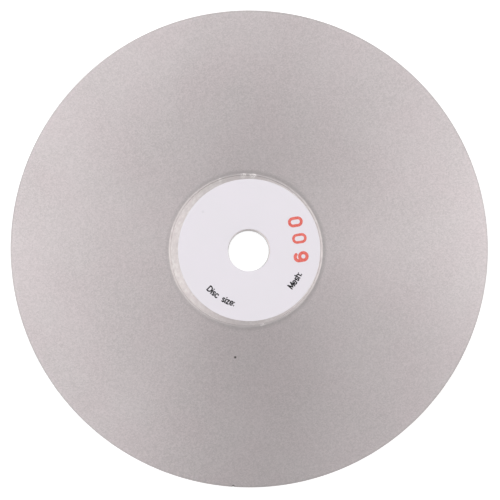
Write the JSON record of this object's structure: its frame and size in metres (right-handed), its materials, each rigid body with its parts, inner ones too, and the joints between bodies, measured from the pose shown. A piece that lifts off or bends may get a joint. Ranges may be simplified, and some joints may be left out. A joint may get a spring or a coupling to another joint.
{
  "type": "diamond flat lap disc",
  "caption": "Flat steel lap disc with an electroplated diamond face, a smooth land and a paper label round its plain arbor bore.",
  "frame": {"origin": "centre of the arbor bore, in the plane of the disc's back face", "axes": "+Z along the bore axis, out of the abrasive face; +X points to the side of the label that carries the red number"},
  "size_m": [0.15, 0.15, 0.0012],
  "materials": {
    "core_steel": "rolled and linished flat, fine circular grinding lines",
    "undercoat_nickel": "satin nickel strike plating, smooth and slightly warm",
    "bond_nickel": "matt electroplated nickel",
    "diamond_in_nickel": "matt grey, fine even diamond grain standing out of nickel",
    "label_adhesive": "clear acrylic adhesive film",
    "label_paper": "smooth white coated paper",
    "red_stamp_ink": "coral red stamped ink, uneven",
    "black_ink": "black printed ink"
  },
  "bodies": {
    "root": {"steel_core": "core_steel", "nickel_undercoat": "undercoat_nickel", "nickel_bond": "bond_nickel", "diamond_grit": "diamond_in_nickel", "label_adhesive": "label_adhesive", "label_paper": "label_paper", "grit_number_stamp": "red_stamp_ink", "mesh_caption_print": "black_ink", "size_caption_print": "black_ink"}
  },
  "joints": []
}
